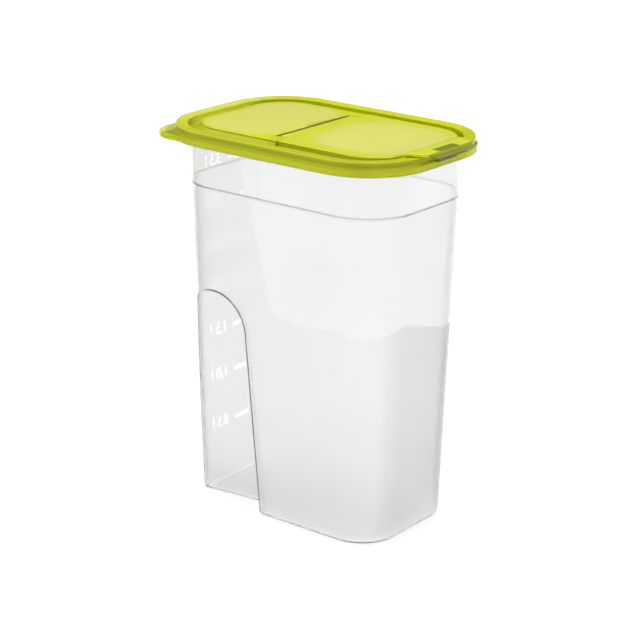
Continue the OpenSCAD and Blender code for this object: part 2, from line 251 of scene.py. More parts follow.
def first_crossing(gap, distance):
    """The distance in each row at which gap first falls below zero, by straight lines between samples."""
    row, i = np.arange(len(gap)), np.maximum(np.argmax(gap < 0, axis=1), 1)
    before, after = gap[row, i - 1], gap[row, i]
    return distance[i - 1] + (distance[i] - distance[i - 1]) * before / (before - after)


# rows up the legs: the rounded foot first, then the wall
turn_up = np.radians([0, 18, 36, 54, 72, 90])
leg_z = np.concatenate([foot * (1 - np.cos(turn_up)), np.linspace(foot, grip_z, 36)[1:]])
leg_out = np.concatenate([-foot * (1 - np.sin(turn_up)), np.zeros(35)])
rays = np.radians(np.linspace(0, 180, 65))[1:-1]
far_out = np.linspace(0, 60, 1201)  # distances at which the edge of the arch is looked for
rear_out = far_out[:600]  # towards the rear the body ends after 30 mm

leg_half = grip_r + crown_flat + splay * (grip_z - leg_z)
leg_foot = wall_foot(leg_half, grip_x + leg_half, leg_z)
row_z, row_out = leg_z[:, None], leg_out[:, None]
edge_front = first_crossing(wall_gap(grip_x + far_out, row_z, row_out, far_out - leg_foot[:, None]), far_out)
edge_rear = first_crossing(wall_gap(grip_x - rear_out, row_z, row_out, 0), rear_out)

along, rise = np.cos(rays), np.sin(rays)
ray_half = grip_r + crown_flat * np.abs(along) ** 8
ray_foot = wall_foot(ray_half, grip_x + ray_half * along, grip_z + ray_half * rise)
x_line, z_line = grip_x + far_out * along[:, None], grip_z + far_out * rise[:, None]
edge_ray = first_crossing(wall_gap(x_line, z_line, 0, far_out - ray_foot[:, None]), far_out)
print("arch edge: front foot %.1f, crown %.1f, rear foot %.1f" % (edge_front[0], edge_ray[31], edge_rear[0]))

# %% Grid of the grip side
n_leg, n_ray = len(leg_z), len(rays)


def round_arch(front, crown, rear):
    """A column with a row for each line: up the front leg, round the crown, down the rear leg. Numbers are repeated."""
    parts = ((front, n_leg), (crown, n_ray), (rear, n_leg))
    return np.concatenate([np.broadcast_to(value, count) for value, count in parts])[:, None]


line_z = round_arch(leg_z, grip_z, leg_z[::-1])
line_out = round_arch(leg_out, 0, leg_out[::-1])
line_x = round_arch(1, along, -1)
line_up = round_arch(0, rise, 0)
line_edge = round_arch(edge_front, edge_ray, edge_rear[::-1])
line_foot = round_arch(leg_foot, ray_foot, np.linspace(ray_foot[-1], 40, n_leg))

# inwards: close lines at the edge, the sloping wall, close lines at its foot, then the flat neck
close = np.array([0, 0.35, 0.75, 1.2, 1.7, 2.3])
at_foot = np.array([0.5, 1.2, 2.0, 3.0, 4.4])
run = np.maximum(line_edge - line_foot, 0)
inward = np.sort(np.concatenate([close + 0 * run, 3.0 + run * [0.35, 0.6], 2.9 + run + at_foot], 1), 1)
last = inward[:, -1:]
inward = np.concatenate([inward, last + (line_edge - last) * np.linspace(0, 1, 6)[1:]], 1)
reach = line_edge - inward
xi = grip_x + reach * line_x
zi = line_z + reach * line_up
oi = line_out + 0 * inward
yi = soft_min(half_width(xi, zi, oi), recess_width(xi, zi, reach - line_foot) + oi, edge_round)
inside = np.stack([xi, -yi, zi], -1)

# outwards: straight lines in the outline's own coordinates, from the edge to a frame round the recess
q_front, q_rear, z_top = 2.55, 4.0, 178.0
q_mm = 78  # length of one unit of q along the side, in millimetres
edge_z = line_z + line_edge * line_up
edge_q = outline_place(grip_x + line_edge * line_x, edge_z, line_out)
share = np.arange(1, n_ray + 1) / (n_ray + 1)
climb = np.minimum(np.minimum(share, 1 - share) / 0.25, 1)
frame_q = round_arch(q_front, np.interp(share, [0.25, 0.75], [q_front, q_rear]), q_rear)
frame_z = round_arch(leg_z, grip_z + (z_top - grip_z) * climb, leg_z[::-1])
length = np.hypot((frame_q - edge_q) * q_mm, frame_z - edge_z)
near = np.array([0, 0.35, 0.75, 1.2, 1.7, 2.3, 3.2, 4.6])
onward = near[-1] + (length - near[-1]) * np.linspace(0, 1, 9)[1:] ** 1.2
step = np.concatenate([near / length, onward / length], 1)
qo = edge_q + (frame_q - edge_q) * step
zo = edge_z + (frame_z - edge_z) * step
oo = line_out + 0 * step
xo, wo = outline_xy(*wall_sizes(zo, oo), qo)
past = np.hypot(xo - grip_x, zo - line_z) - line_foot
wide = recess_width(xo, zo, np.where(line_x == -1, -9.0, past)) + oo
wide[:, -2:] += 9  # the last lines lie on the plain wall
yo = soft_min(wo, wide, edge_round)
outside = np.stack([xo, -yo, zo], -1)
print("grip grid", inside.shape, outside.shape)

# %% Sheets of the container
def walls_sheet(q, z, out):
    """Points of the plain walls for columns q and rows of height z and outward offset out."""
    q, z, out = np.broadcast_arrays(q[None, :], z[:, None], out[:, None])
    x, y = outline_xy(*wall_sizes(z, out), q)
    return np.stack([x, -y, z], -1)


quarter = (n_ray + 1) // 4
q_front_part = spread([0, 1, 2, q_front], [3, 19, 6])
q_rear_part = np.array([q_rear, 4.5, 5.0])
rows_front = np.concatenate([leg_z, frame_z[n_leg:n_leg + quarter, 0]])
rows_out = np.concatenate([leg_out, np.zeros(quarter)])
front_sheet = walls_sheet(q_front_part, rows_front, rows_out)
rear_sheet = walls_sheet(q_rear_part, rows_front, rows_out)
upper_q = np.concatenate([q_front_part, frame_q[n_leg + quarter:n_leg + 3 * quarter - 1, 0], q_rear_part])
# height and outward offset: plain wall, ledge, clear band, neck, rim with its bead, top edge
upper_rows = np.array([[z_top, 0], [195, 0], [210, 0], [218, 0], [222, 0], [224, 0], [224.7, 0],
    [225.0, 0.0], [225.12, 0.06], [225.3, 0.3], [225.5, 0.6], [225.75, 0.77], [226.1, 0.8],
    [228, 0.8], [234, 0.8], [242, 0.8], [248, 0.8], [251.5, 0.8], [252.9, 0.8],
    [253.3, 0.95], [253.65, 1.4], [253.85, 2.4], [254.0, 3.6], [254.2, 4.7], [254.6, 5.45], [255.1, 5.75], [255.6, 5.8],
    [257.2, 5.8], [257.8, 6.3], [258.3, 6.85], [258.6, 7.0], [258.9, 6.85], [259.4, 6.3], [260.0, 5.8],
    [262.3, 5.8], [262.75, 5.62], [263.0, 5.2]])
upper_sheet = walls_sheet(upper_q, upper_rows[:, 0], upper_rows[:, 1])

# The base: from the outline to the middle line, with a shallow hollow inside the foot ring.
base_edge = np.concatenate([front_sheet[0], outside[0, ::-1], inside[0], inside[-1, ::-1], outside[-1], rear_sheet[0]])
middle = np.clip(base_edge, [-42, 0, 0], [34, 0, 0])
share_in = np.array([0, 0.06, 0.1, 0.13, 0.16, 0.2, 0.26, 0.5, 1.0])[:, None]
base_sheet = base_edge * (1 - share_in[..., None]) + middle * share_in[..., None]
base_sheet[..., 2] = 0.7 * ease((share_in - 0.1) / 0.12)

# %% Build the container
half = [base_sheet, front_sheet, inside, outside, rear_sheet, upper_sheet]
raw_points, raw_faces = join_sheets(half)
# the sheets differ in turn, so each quad is turned to face away from the middle before the normals are summed:
# downwards on the base, and away from a line along the middle of the body elsewhere
corner = raw_points[raw_faces]
flat = np.cross(corner[:, 2] - corner[:, 0], corner[:, 3] - corner[:, 1])
centre = corner.mean(1)
from_line = centre[:, 0] + 10 - np.clip(centre[:, 0] + 10, -50, 50)
away = np.stack([from_line, np.minimum(centre[:, 1], -1), 0 * from_line], -1)
away[:len(sheet_faces(*base_sheet.shape[:2]))] = (0, 0, -1)
wrong = (flat * away).sum(1) < 0
raw_faces[wrong] = raw_faces[wrong][:, ::-1]
first, same = merge_points(raw_points)
normals = point_normals(raw_points[first], same[raw_faces])[same]
inner_points = raw_points - normals * (wall + (floor - wall) * np.abs(normals[:, 2:]) ** 4)

ends = np.cumsum([sheet[..., 0].size for sheet in half])[:-1]
inner = [part.reshape(sheet.shape) for part, sheet in zip(np.split(inner_points, ends), half)]
inner[5] = inner[5][:-2]  # the inside wall stops lower, and a flat rim closes the top
rim_sheet = np.stack([upper_sheet[-1], inner[5][-1]])

# the frost attribute: 1 where the inside is matted, with a soft edge of 1.6 mm round the recess
outer_frost = [np.zeros(sheet.shape[:2]) for sheet in half]
below_ledge = np.repeat(upper_rows[:-2, :1] < 225.05, len(upper_q), 1)
inner_frost = [np.full(base_sheet.shape[:2], 0.6), np.ones(front_sheet.shape[:2]), np.zeros(inside.shape[:2]),
    np.clip(step * length / 1.6, 0, 1), np.ones(rear_sheet.shape[:2]), below_ledge, np.zeros(rim_sheet.shape[:2])]
frost = np.concatenate([part.ravel() for part in outer_frost + inner_frost])
points, faces = join_sheets(half + inner + [rim_sheet])
container = make_piece("container_shell", points, faces, frost=frost)
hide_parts("container")
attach(container, "container")

# %% [markdown]
# ## Litre marks
# On the grip end wall stand a short bar and a figure for each half litre. They stand out by about 0.4 mm and are read
# from outside. The figures are text turned into a mesh first, and each point is then placed on the leaning wall.

# %% Marks
mark_heights = [40.6, 76.8, 109.6, 141.6, 172.2, 201.9, 230.6]
bar_start, bar_end, bar_height, bar_out = 4.0, 18.5, 3.2, 0.4
figure_y, figure_width, figure_height, figure_out = -11.5, 15.5, 9.5, 0.23


def lay_on_wall(flat, y_centre, z_centre):
    """Points (across, up, out) laid on the end wall, to be read from outside: across runs towards -y."""
    z = z_centre + flat[:, 1]
    wall_x = -(base_a + lean_a * z + np.where(z > step_z, 0.8, 0.0))
    return np.stack([wall_x - flat[:, 2], y_centre - flat[:, 0], z], 1)


def bar_sheets():
    """A low bar: rows across it are bottom edge, two shoulders and top edge, and its sides and ends slope."""
    along = np.linspace(bar_start, bar_end, 9)
    is_end = (along == bar_start) | (along == bar_end)
    lift = np.array([0.03, 1, 1, 0.03])[:, None] * np.where(is_end, 0.03, 1) * bar_out
    up = np.array([-0.5, -0.32, 0.32, 0.5])[:, None] * bar_height
    top = np.stack([-along + 0 * lift, up + 0 * lift, lift], -1)
    low = top * [1, 1, 0] + [0, 0, 0.02]
    return [top, low] + strips(top, low, 0, -1, np.s_[:, 0], np.s_[:, -1])


def figure_mesh(name, text):
    """A mesh of raised text, its points across, up and out."""
    curve = bpy.data.curves.new(name, "FONT")
    curve.body = text
    curve.size, curve.extrude, curve.bevel_depth, curve.offset, curve.resolution_u = 12.0, 0.16, 0.05, -0.13, 4
    curve.align_x, curve.align_y = "CENTER", "CENTER"
    source = add_object(name, curve)
    mesh = final_mesh(source)
    bpy.data.objects.remove(source)
    return mesh


half_litres = []
for number, z in enumerate(mark_heights, 1):
    points, faces = join_sheets(bar_sheets())
    half_litres.append(make_piece("bar_%d" % number, lay_on_wall(points, 0.0, z), faces, mirror=False))
    name = "figure_%d" % number
    mesh = figure_mesh(name, "%d,%d l" % (number // 2, 5 * (number % 2)))
    flat = np.array([vertex.co for vertex in mesh.vertices])
    low, high = flat.min(0), flat.max(0)
    scale = [figure_width / (high[0] - low[0]), figure_height / (high[1] - low[1]), 1]
    flat = (flat - (low + high) / 2) * scale + [0, 0, figure_out]
    mesh.vertices.foreach_set("co", (lay_on_wall(flat, figure_y, z) * MM).ravel())
    mesh.update()
    half_litres.append(add_object(name, mesh))
for piece in half_litres:
    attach(piece, "container")
print(len(half_litres), "marks and figures")

# %% [markdown]
# ## Sections carried round the lid
# The lid and the flap are thin walls that follow rounded outlines. Each is given as a section, a short path of offsets
# and heights whose corners are rounded off, and the section is carried along the near half of an outline. The outline
# has the same number of points at every offset, so the rows of the section join up by themselves.

# %% Section helpers
def rounded(path, radius, closed=False, steps=4):
    """Rounds the corners of a path: corner p1 becomes (1-t)^2 p0 + 2 t (1-t) p1 + t^2 p2 between points p0 and p2, one
    radius before and after it."""
    path = np.array(path, float)
    radius = np.broadcast_to(np.array(radius, float), len(path))
    t = np.linspace(0, 1, steps + 1)[:, None]
    result = []
    for i, p in enumerate(path):
        if radius[i] <= 0 or (not closed and i in (0, len(path) - 1)):
            result.append(p[None])
            continue
        before, after = path[i - 1] - p, path[(i + 1) % len(path)] - p
        p0, p2 = (p + v * min(radius[i] / np.linalg.norm(v), 0.48) for v in (before, after))
        result.append((1 - t) ** 2 * p0 + 2 * t * (1 - t) * p + t * t * p2)
    if closed:
        result.append(result[0][:1])
    return np.concatenate(result)


def half_outline(a, b, r, q):
    """Points of outline_xy in a plane, on the near side."""
    x, y = outline_xy(a, b, r, q)
    return np.stack([x, -y], -1)


def at_height(flat, z):
    """Points in a plane, lifted to the height z, which is one number or one for each point."""
    return np.column_stack([flat, np.broadcast_to(z, len(flat))])


def carry(section, a, b, r, q):
    """Carries a section round a rounded rectangle: (offset, height) gives the outline grown by offset, at height."""
    return np.stack([at_height(half_outline(a + d, b + d, r + d, q), z) for d, z in section])


def ladder(outer, inner, shares):
    """Rows between two paths with the same number of points: outer + share (inner - outer)."""
    return outer[None] + np.asarray(shares)[:, None, None] * (inner - outer)[None]


def whole_round(profile, axis_x, axis_z, steps=48):
    """A solid turned about a line along y: rows of (y, radius), column t at x + radius cos t and z + radius sin t."""
    t = np.linspace(0, 2 * np.pi, steps + 1)
    y, r = np.array(profile).T[..., None]
    return np.stack([axis_x + r * np.cos(t), y + 0 * t, axis_z + r * np.sin(t)], -1)


def unite(name, parts):
    """Joins closed parts that run into each other into one moulding, and keeps edges of 35 degrees or more sharp."""
    base = parts[0]
    for part in parts[1:]:
        join = base.modifiers.new("join", "BOOLEAN")
        join.operation, join.solver, join.object = "UNION", "EXACT", part
    base.modifiers.new("even", "WEIGHTED_NORMAL").keep_sharp = True
    mesh = final_mesh(base)
    shape = bmesh.new()
    shape.from_mesh(mesh)
    bmesh.ops.remove_doubles(shape, verts=shape.verts, dist=0.000002)
    bmesh.ops.dissolve_degenerate(shape, edges=shape.edges, dist=0.000002)
    for edge in shape.edges:
        edge.smooth = len(edge.link_faces) == 2 and edge.calc_face_angle(0) < radians(35.0)
    for part in parts:
        bpy.data.objects.remove(part)
    return finish_piece(name, mesh, shape)


# %% [markdown]
# ## The lid
# The lid is one lime moulding: a raised hollow rim with a skirt that grips the container, a rear panel that stands in a
# channel, and a lower deck at the front with the pouring opening. Real mouldings have small radii where walls meet, and
# a clear one shows each as a line of light, so the sections carry them.

# %% Sizes of the lid
ring_a, ring_b, ring_r = 87.6, 58.5, 36.5  # half length, half width and corner radius of the inner edge of the rim
deck_z, ear_y, hinge_x, hinge_z, panel_x = 260.2, 38.0, -6.2, 262.9, -9.0
whole_way = [0, 1, 2, 3, 4, 5]  # front, corner, side, corner, rear
around_q = spread(whole_way, [3, 33, 6, 33, 3])

# %% Rim and skirt
rim_path = [(8.1, 255.7), (9.5, 255.7), (9.5, 260.35), (8.1, 261.9), (8.1, 265.2), (0.0, 264.8), (0.0, 258.8),
    (1.3, 258.8), (1.3, 263.45), (6.7, 263.8), (6.7, 261.3), (8.1, 259.7)]
rim_section = rounded(rim_path, [0.3, 0.4, 0.35, 0.5, 0.9, 0.7, 0.3, 0.3, 0.7, 0.7, 0.5, 0.4], closed=True)
lid_rim = make_piece("lid_rim", *join_sheets([carry(rim_section, ring_a, ring_b, ring_r, around_q)]))

# %% [markdown]
# The rear panel is a plate with a low upright edge, a gentle ramp down into the channel, and a step down to the deck at
# the hinge. Two ears run forward beside the flap. Top and underside are one sheet each, and walls stand under the
# edges.

# %% Rear panel
def block(x0, x1, y0, y1, z0, z1):
    """Points and quads of a closed box, y counted towards the near side, for walls hidden in a moulding."""
    x, y, z = np.meshgrid([x0, x1], [-y0, -y1], [z0, z1], indexing="ij")
    corners = np.stack([x, y, z], -1).reshape(-1, 3)
    return corners, np.array([[0, 1, 3, 2], [4, 6, 7, 5], [0, 4, 5, 1], [2, 3, 7, 6], [0, 2, 6, 4], [1, 5, 7, 3]])


front_q = 2.5  # the outline passes x = 0 here
panel_q = spread([front_q, 2.6, 3, 4, 5], [7, 8, 33, 3])
ramp_path = rounded([(0.63, 260.23), (-1.0, 260.23), (-9.3, 263.7), (-9.3, 264.8), (-10.6, 264.8)],
    [0, 0.8, 0.35, 0.35, 0])
ramp_low = rounded([(0.63, 258.87), (-1.3, 258.87), (-8.2, 261.8), (-10, 263.4), (-10.6, 263.4)], [0, 0.8, 0.6, 0.2, 0])
ramp_sheet, ramp_under = (carry(path, ring_a, ring_b, ring_r, panel_q) for path in (ramp_path, ramp_low))
edge_line = ramp_sheet[-1]
run_along = np.concatenate([[0], np.cumsum(np.linalg.norm(np.diff(edge_line, axis=0), axis=1))])
share_front = np.clip((run_along + panel_x) / (run_along[-1] + panel_x), 0, 1)
front_line = np.stack([np.maximum(edge_line[:, 0], panel_x), -ear_y * (1 - share_front), edge_line[:, 2]], -1)
plate_rows = ladder(edge_line, front_line, [0.05, 0.3, 0.6, 0.9, 1.0])
panel_top = np.concatenate([ramp_sheet, plate_rows])
panel_low = np.concatenate([ramp_under, plate_rows - [0, 0, 1.4]])
n_rows, n_columns = panel_top.shape[:2]
cap = np.concatenate([np.arange(n_rows), np.arange(2 * n_rows)[:n_rows - 1:-1]]) * n_columns
panel_sheets = [panel_top, panel_low] + strips(panel_top, panel_low, 0, -1)
rear_panel = make_piece("rear_panel", *join_sheets(panel_sheets), caps=[cap])
walls = [make_piece("step_wall", *block(-10.4, -9.02, -42.6, 42.6, 258.9, 264.2), mirror=False),
    make_piece("ear_cheek", *block(-10.2, -0.03, 38.02, 42.55, 258.93, 264.1)),
    make_piece("ear_front", *block(-1.4, -0.05, 38.04, 48.9, 258.97, 264.3))]

# %% Deck with the pouring opening
pour_c, pour_a, pour_b, pour_r = 40.95, 28.95, 38.0, 18.0
deck_q = spread(whole_way, [4, 25, 9, 25, 9])
edge_in = 0.6  # the deck runs this far into the wall of the rim


def at_hole(offset, z):
    """The edge of the opening, grown by offset, at height z."""
    return at_height(half_outline(pour_a + offset, pour_b + offset, pour_r + offset, deck_q) + [pour_c, 0], z)


outer_q = np.interp(deck_q, [0, 1, 2, 3.0], [0, 1, 2, 2.5883])
deck_outer = half_outline(ring_a + edge_in, ring_b + edge_in, ring_r + edge_in, outer_q)
rear_share = (deck_q[deck_q >= 3] - 3) / 2
deck_outer[deck_q >= 3] = np.stack([0 * rear_share - 9.6, -(ring_b + edge_in) * (1 - rear_share)], -1)
deck_outer = at_height(deck_outer, deck_z)
collar = rounded([(0, 258.83), (0, 262.6), (1.2, 262.6), (1.2, 260.2), (2.2, 260.2)], [0, 0.5, 0.5, 0.7, 0])
deck_rows = [at_hole(d, z) for d, z in collar]
deck_rows += list(ladder(deck_rows[-1], deck_outer, [0.3, 0.6, 0.9, 1.0]))
deck_rows += [row - [0, 0, 1.37] for row in deck_rows[:-6:-1]] + [deck_rows[0]]
deck = make_piece("deck", *join_sheets([np.stack(deck_rows)]))

# %% [markdown]
# The lid is lifted off by a thin corner tab: at one corner the skirt runs out square instead of round. Its section is a
# plate with a turned-down edge, carried between the round corner and the square one.

# %% Opening tab
n_tab, straight = 41, 0.28  # points along the tab, and the share of them on each straight side
t = np.linspace(0, 1, n_tab)[:, None]
round_edge = half_outline(96.4, 67.3, 45.3, 3 + t[:, 0])
square_edge = half_outline(97.1, 68.0, 22.0, 3 + np.clip((t[:, 0] - straight) / (1 - 2 * straight), 0, 1))
side_end, rear_end = np.array([-51.1, -68.0]), np.array([-97.1, -22.0])
square_edge = np.where(t < straight, side_end + (square_edge[0] - side_end) * t / straight, square_edge)
square_edge = np.where(t > 1 - straight,
    square_edge[-1] + (rear_end - square_edge[-1]) * (t - (1 - straight)) / straight, square_edge)
reach_mm = np.linalg.norm(square_edge - round_edge, axis=1, keepdims=True)
outward = (square_edge - round_edge) / reach_mm


def tab_row(distance, z):
    """Points at a distance inwards from the square edge, never past the round one, at height z."""
    return at_height(square_edge - outward * np.minimum(distance, reach_mm), z)


tab_path = [(99, 260.3), (3, 260.3), (1.2, 260.25), (0.4, 259.95), (0, 259.2), (0, 257.4), (0.2, 257.2), (1.1, 257.2),
    (1.3, 257.4), (1.3, 258.4), (1.8, 258.95), (3, 259.0), (99, 259.0), (99, 260.3)]
tab_rows = np.arange(len(tab_path) - 1)
tab_caps = [tab_rows * n_tab, tab_rows[::-1] * n_tab + n_tab - 1]
tab = make_piece("tab", *join_sheets([np.stack([tab_row(d, z) for d, z in tab_path])]), mirror=False, caps=tab_caps)

# %% One moulding
lid = unite("lid_shell", [lid_rim, rear_panel] + walls + [deck, tab])
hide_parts("lid")
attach(lid, "lid")

# %% [markdown]
# ## The flap
# The flap is a plate with an edge wall that hangs down on three sides, a tongue with the hinge barrel and its two pins,
# a rib that dips into the opening, and a thumb lip with a latch over the skirt of the lid.

# %% Plate and edge wall of the flap
flap_a, flap_b, flap_r, flap_z = 86.9, 49.2, 30.0, 265.2
edge_q = spread([0, 1, 2, 2.49], [4, 29, 9])
n_edge, corner_end = len(edge_q), 31
flap_line = half_outline(flap_a, flap_b, flap_r, edge_q)
flap_line[corner_end:, 0] = np.linspace(flap_line[corner_end, 0], 0.72, n_edge - corner_end)
tongue = [(0.7, -49.2), (0.7, -45), (0.7, -41), (0.7, -37.5), (-2, -37.5), (-6.2, -37.5), (-6.2, -25), (-6.2, -12),
    (-6.2, 0)]
flap_line = np.concatenate([flap_line, tongue])
n_line = len(flap_line)
has_wall = np.arange(n_line) < n_edge
# the rows run in from the outline to points on the middle line: level with it on the wall, towards them on the tongue
core_x = np.interp(np.arange(n_line), [0, 6, n_edge - 9, n_edge, n_edge + 4, n_line - 1], [60, 57, 48, 3, 0.8, -5.0])
core = np.stack([core_x, 0 * core_x], -1)
normal_in = core - flap_line
normal_in[:n_edge] = np.gradient(flap_line[:n_edge], axis=0)[:, ::-1] * [1, -1]
normal_in[0] = (-1, 0)
normal_in[n_edge - 1:n_edge + 1] = (-0.001, 1)
normal_in /= np.linalg.norm(normal_in, axis=1, keepdims=True)


def flap_row(distance, z, z_tongue):
    """The outline of the flap moved inwards by distance, at height z along the wall and z_tongue on the tongue."""
    inset = np.where(has_wall, distance, np.minimum(distance, 1.2))[:, None]
    flat = flap_line + normal_in * inset
    flat[-1, 1] = 0
    return at_height(flat, np.where(has_wall, z, z_tongue))


wall_path = [(1, 265.2, 265.2), (0.62, 265.15, 265.15), (0.3, 265.0, 265.0), (0.08, 264.75, 264.75), (0, 264.4, 264.4),
    (0, 261.1, 263.8), (0.15, 260.9, 263.7), (1.15, 260.9, 263.7), (1.3, 261.1, 263.7), (1.35, 263.2, 263.7),
    (1.6, 263.6, 263.7), (2.1, 263.7, 263.7)]
edge_rows = np.stack([flap_row(*sizes) for sizes in wall_path])
flap_core = at_height(core, flap_z)
top_rows = ladder(flap_core, edge_rows[0], [0, 0.3, 0.6, 0.85])
low_rows = ladder(edge_rows[-1], flap_core - [0, 0, 1.5], [0.15, 0.4, 0.7, 1.0])
flap_plate = make_piece("flap_plate", *join_sheets([np.concatenate([top_rows, edge_rows, low_rows])]))
rib_path = rounded([(-0.35, 259.4), (-0.35, 264.0), (-1.55, 264.0), (-1.55, 259.4)], [0.5, 0, 0, 0.5], closed=True)
rib = make_piece("rib", *join_sheets([np.stack([at_hole(d, z) for d, z in rib_path])]))

# %% Hinge barrel and pins
barrel_path = [(-41.5, 0), (-41.5, 0.9), (-41.2, 1.2), (-37.5, 1.2), (-37.5, 2.1), (-37.3, 2.3)]
barrel_path += [(-y, r) for y, r in barrel_path[::-1]]
barrel = make_piece("barrel", *join_sheets([whole_round(barrel_path, hinge_x, hinge_z)]), mirror=False)

# %% Thumb lip
# x and height of the rows of the lip, on its top and on its underside
lip_x, lip_top = np.array([(79.9, 264.6), (81.5, 265.3), (83, 265.75), (84.5, 266.4), (86, 266.95), (87.2, 267.25),
    (88.4, 267.38), (89.6, 267.4), (92, 267.4), (96, 267.4), (99, 267.4), (101, 267.4), (102.2, 267.38),
    (103.1, 267.22), (103.65, 266.9), (103.9, 266.5), (104, 266), (104, 264.35)]).T
low_x, low_top = np.array([(79.9, 263.9), (81.5, 263.9), (83, 263.9), (84.5, 263.9), (86, 263.9), (86.85, 264.1),
    (86.9, 265.2), (87.3, 265.6), (92, 265.6), (96, 265.6), (99, 265.6), (101, 265.6), (101.8, 265.55), (102.2, 265.2),
    (102.25, 264.9), (102.3, 264.5), (102.35, 264.2), (103.85, 264.1)]).T


def lip_half(x):
    """Half width of the lip: it widens into the corner of the flap, narrows towards the front, and its front corners,
    from x = 100 on, are round with a radius of 4."""
    side = np.interp(x, [79.9, 81.5, 83, 84.5, 86, 87.2, 89.4, 104], [37.9, 35.9, 33.9, 31.9, 30.4, 29.7, 29.1, 21.9])
    return side - np.where(x > 100, 4 - np.sqrt(np.maximum(16 - (x - 100) ** 2, 0)), 0)


across = np.concatenate([np.linspace(0, 0.9, 7), [0.95, 0.975, 0.99, 1.0]])
drop = np.array([0] * 8 + [0.04, 0.15, 0.5])


def lip_sheet(x, z, sign):
    """Sheet of the lip: y = share x half width, and the height is drawn in by the edge radius towards the sides."""
    half = lip_half(x)[:, None] * across
    return np.stack([x[:, None] + 0 * half, -half, z[:, None] - sign * drop], -1)


upper, lower = lip_sheet(lip_x, lip_top, 1.0), lip_sheet(low_x, low_top, -0.5)
lip = make_piece("lip", *join_sheets([upper, lower] + strips(upper, lower, 0, -1, np.s_[:, -1])))

# %% Latch and pad
latch_t = np.linspace(0, 1, 13)
latch_y = np.concatenate([[0, 3.5], 7 + 3 * np.sin(latch_t * np.pi / 2), [10.0]])
latch_low = np.concatenate([[258.6, 258.6], 261.6 - 3 * np.cos(latch_t * np.pi / 2), [266.2]])
latch_rows = np.stack([
    np.stack([np.full(len(latch_y), x), -latch_y + inset * (latch_y > 5), latch_low + inset * (latch_low < 263)], -1)
    for x, inset in ((97.55, 0.35), (97.7, 0.1), (97.95, 0), (98.75, 0), (99.0, 0.1), (99.15, 0.35))])
latch_top = latch_rows * [1, 1, 0] + [0, 0, 266.2]
latch = make_piece("latch", *join_sheets([latch_rows] + strips(latch_rows, latch_top, 0, -1) + [latch_top]))
pad = make_piece("pad", *block(90.55, 93.9, -11.5, 11.5, 264.9, 266.1), mirror=False)

flap = unite("flap_shell", [flap_plate, rib, barrel, lip, latch, pad])
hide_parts("flap")
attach(flap, "flap")

# %% [markdown]
# ## Surface effects that every plastic shares
# A moulding is never perfectly even: the tool leaves a fine grain, its finish differs a little from place to place, and
# long surfaces are wavy. One node group gives these to all the plastics, each with its own strength.

# %% Moulded surface group
def new_group(name, inputs, outputs):
    """A shader node group. inputs maps the names of number sockets to their values, outputs maps names to kinds."""
    group = bpy.data.node_groups.new(name, "ShaderNodeTree")
    for label, value in inputs.items():
        group.interface.new_socket(name=label, in_out="INPUT", socket_type="NodeSocketFloat").default_value = value
    for label, kind in outputs.items():
        group.interface.new_socket(name=label, in_out="OUTPUT", socket_type="NodeSocket" + kind)
    return group, group.nodes.new("NodeGroupInput").outputs, group.nodes.new("NodeGroupOutput").inputs


def node(tree, kind, links=None, **settings):
    """Adds a node: settings are set on it as attributes, links maps an input name or number to a value or a socket."""
    made = tree.nodes.new("ShaderNode" + kind)
    for key, value in settings.items():
        setattr(made, key, value)
    for key, value in (links or {}).items():
        if isinstance(value, bpy.types.NodeSocket):
            tree.links.new(value, made.inputs[key])
        else:
            made.inputs[key].default_value = value
    return made


def maths(operation):
    """A function that adds one arithmetic node on two sockets, or a socket and a number, to the tree of the socket."""
    def add(first, second=0.0):
        tree = (first if isinstance(first, bpy.types.NodeSocket) else second).id_data
        return node(tree, "Math", {0: first, 1: second}, operation=operation).outputs[0]
    return add


plus, minus, times, larger = map(maths, ("ADD", "SUBTRACT", "MULTIPLY", "MAXIMUM"))


def length_of(first, second):
    """sqrt(a^2 + b^2)."""
    return maths("SQRT")(plus(times(first, first), times(second, second)))


def slope_node(value, start, end, low=0.0, high=1.0, **settings):
    """low before start, high past end, and an even slope between."""
    links = {"Value": value, "From Min": start, "From Max": end, "To Min": low, "To Max": high}
    return node(value.id_data, "MapRange", links, **settings).outputs["Result"]


def mix_node(share, first, second):
    """first + share (second - first)."""
    return node(share.id_data, "Mix", {0: share, 2: first, 3: second}).outputs[0]


def object_place(tree):
    """Sockets for x, y and z of the Object coordinates."""
    return node(tree, "SeparateXYZ", {0: node(tree, "TexCoord").outputs["Object"]}).outputs


grain_group, g_in, g_out = new_group("moulded surface",
    {"Roughness": 0.1, "Frost Roughness": 0.35, "Frost": 0.0, "Grain": 0.02, "Wave": 0.1},
    {"Roughness": "Float", "Normal": "Vector", "Cloud": "Float"})
place = node(grain_group, "TexCoord").outputs["Object"]
fine, broad, spots = (node(grain_group, "TexNoise", {"Vector": place, "Scale": scale, "Detail": detail}).outputs["Fac"]
    for scale, detail in ((900.0, 2.0), (14.0, 1.0), (60.0, 3.0)))
rough = mix_node(g_in["Frost"], g_in["Roughness"], g_in["Frost Roughness"])
fine_bump = node(grain_group, "Bump", {"Strength": g_in["Grain"], "Distance": 0.0002, "Height": fine}).outputs["Normal"]
wave_links = {"Strength": g_in["Wave"], "Distance": 0.002, "Height": broad, "Normal": fine_bump}
grain_group.links.new(times(rough, slope_node(spots, 0.3, 0.7, 0.9, 1.12)), g_out["Roughness"])
grain_group.links.new(node(grain_group, "Bump", wave_links).outputs["Normal"], g_out["Normal"])
grain_group.links.new(broad, g_out["Cloud"])


def new_material(name, **sockets):
    """A material whose Principled shader has these socket values. Returns the material, its tree and the shader."""
    material = bpy.data.materials.new(name)
    material.use_nodes = True
    tree = material.node_tree
    shader = tree.nodes["Principled BSDF"]
    for key, value in sockets.items():
        shader.inputs[key.replace("_", " ")].default_value = value
    return material, tree, shader


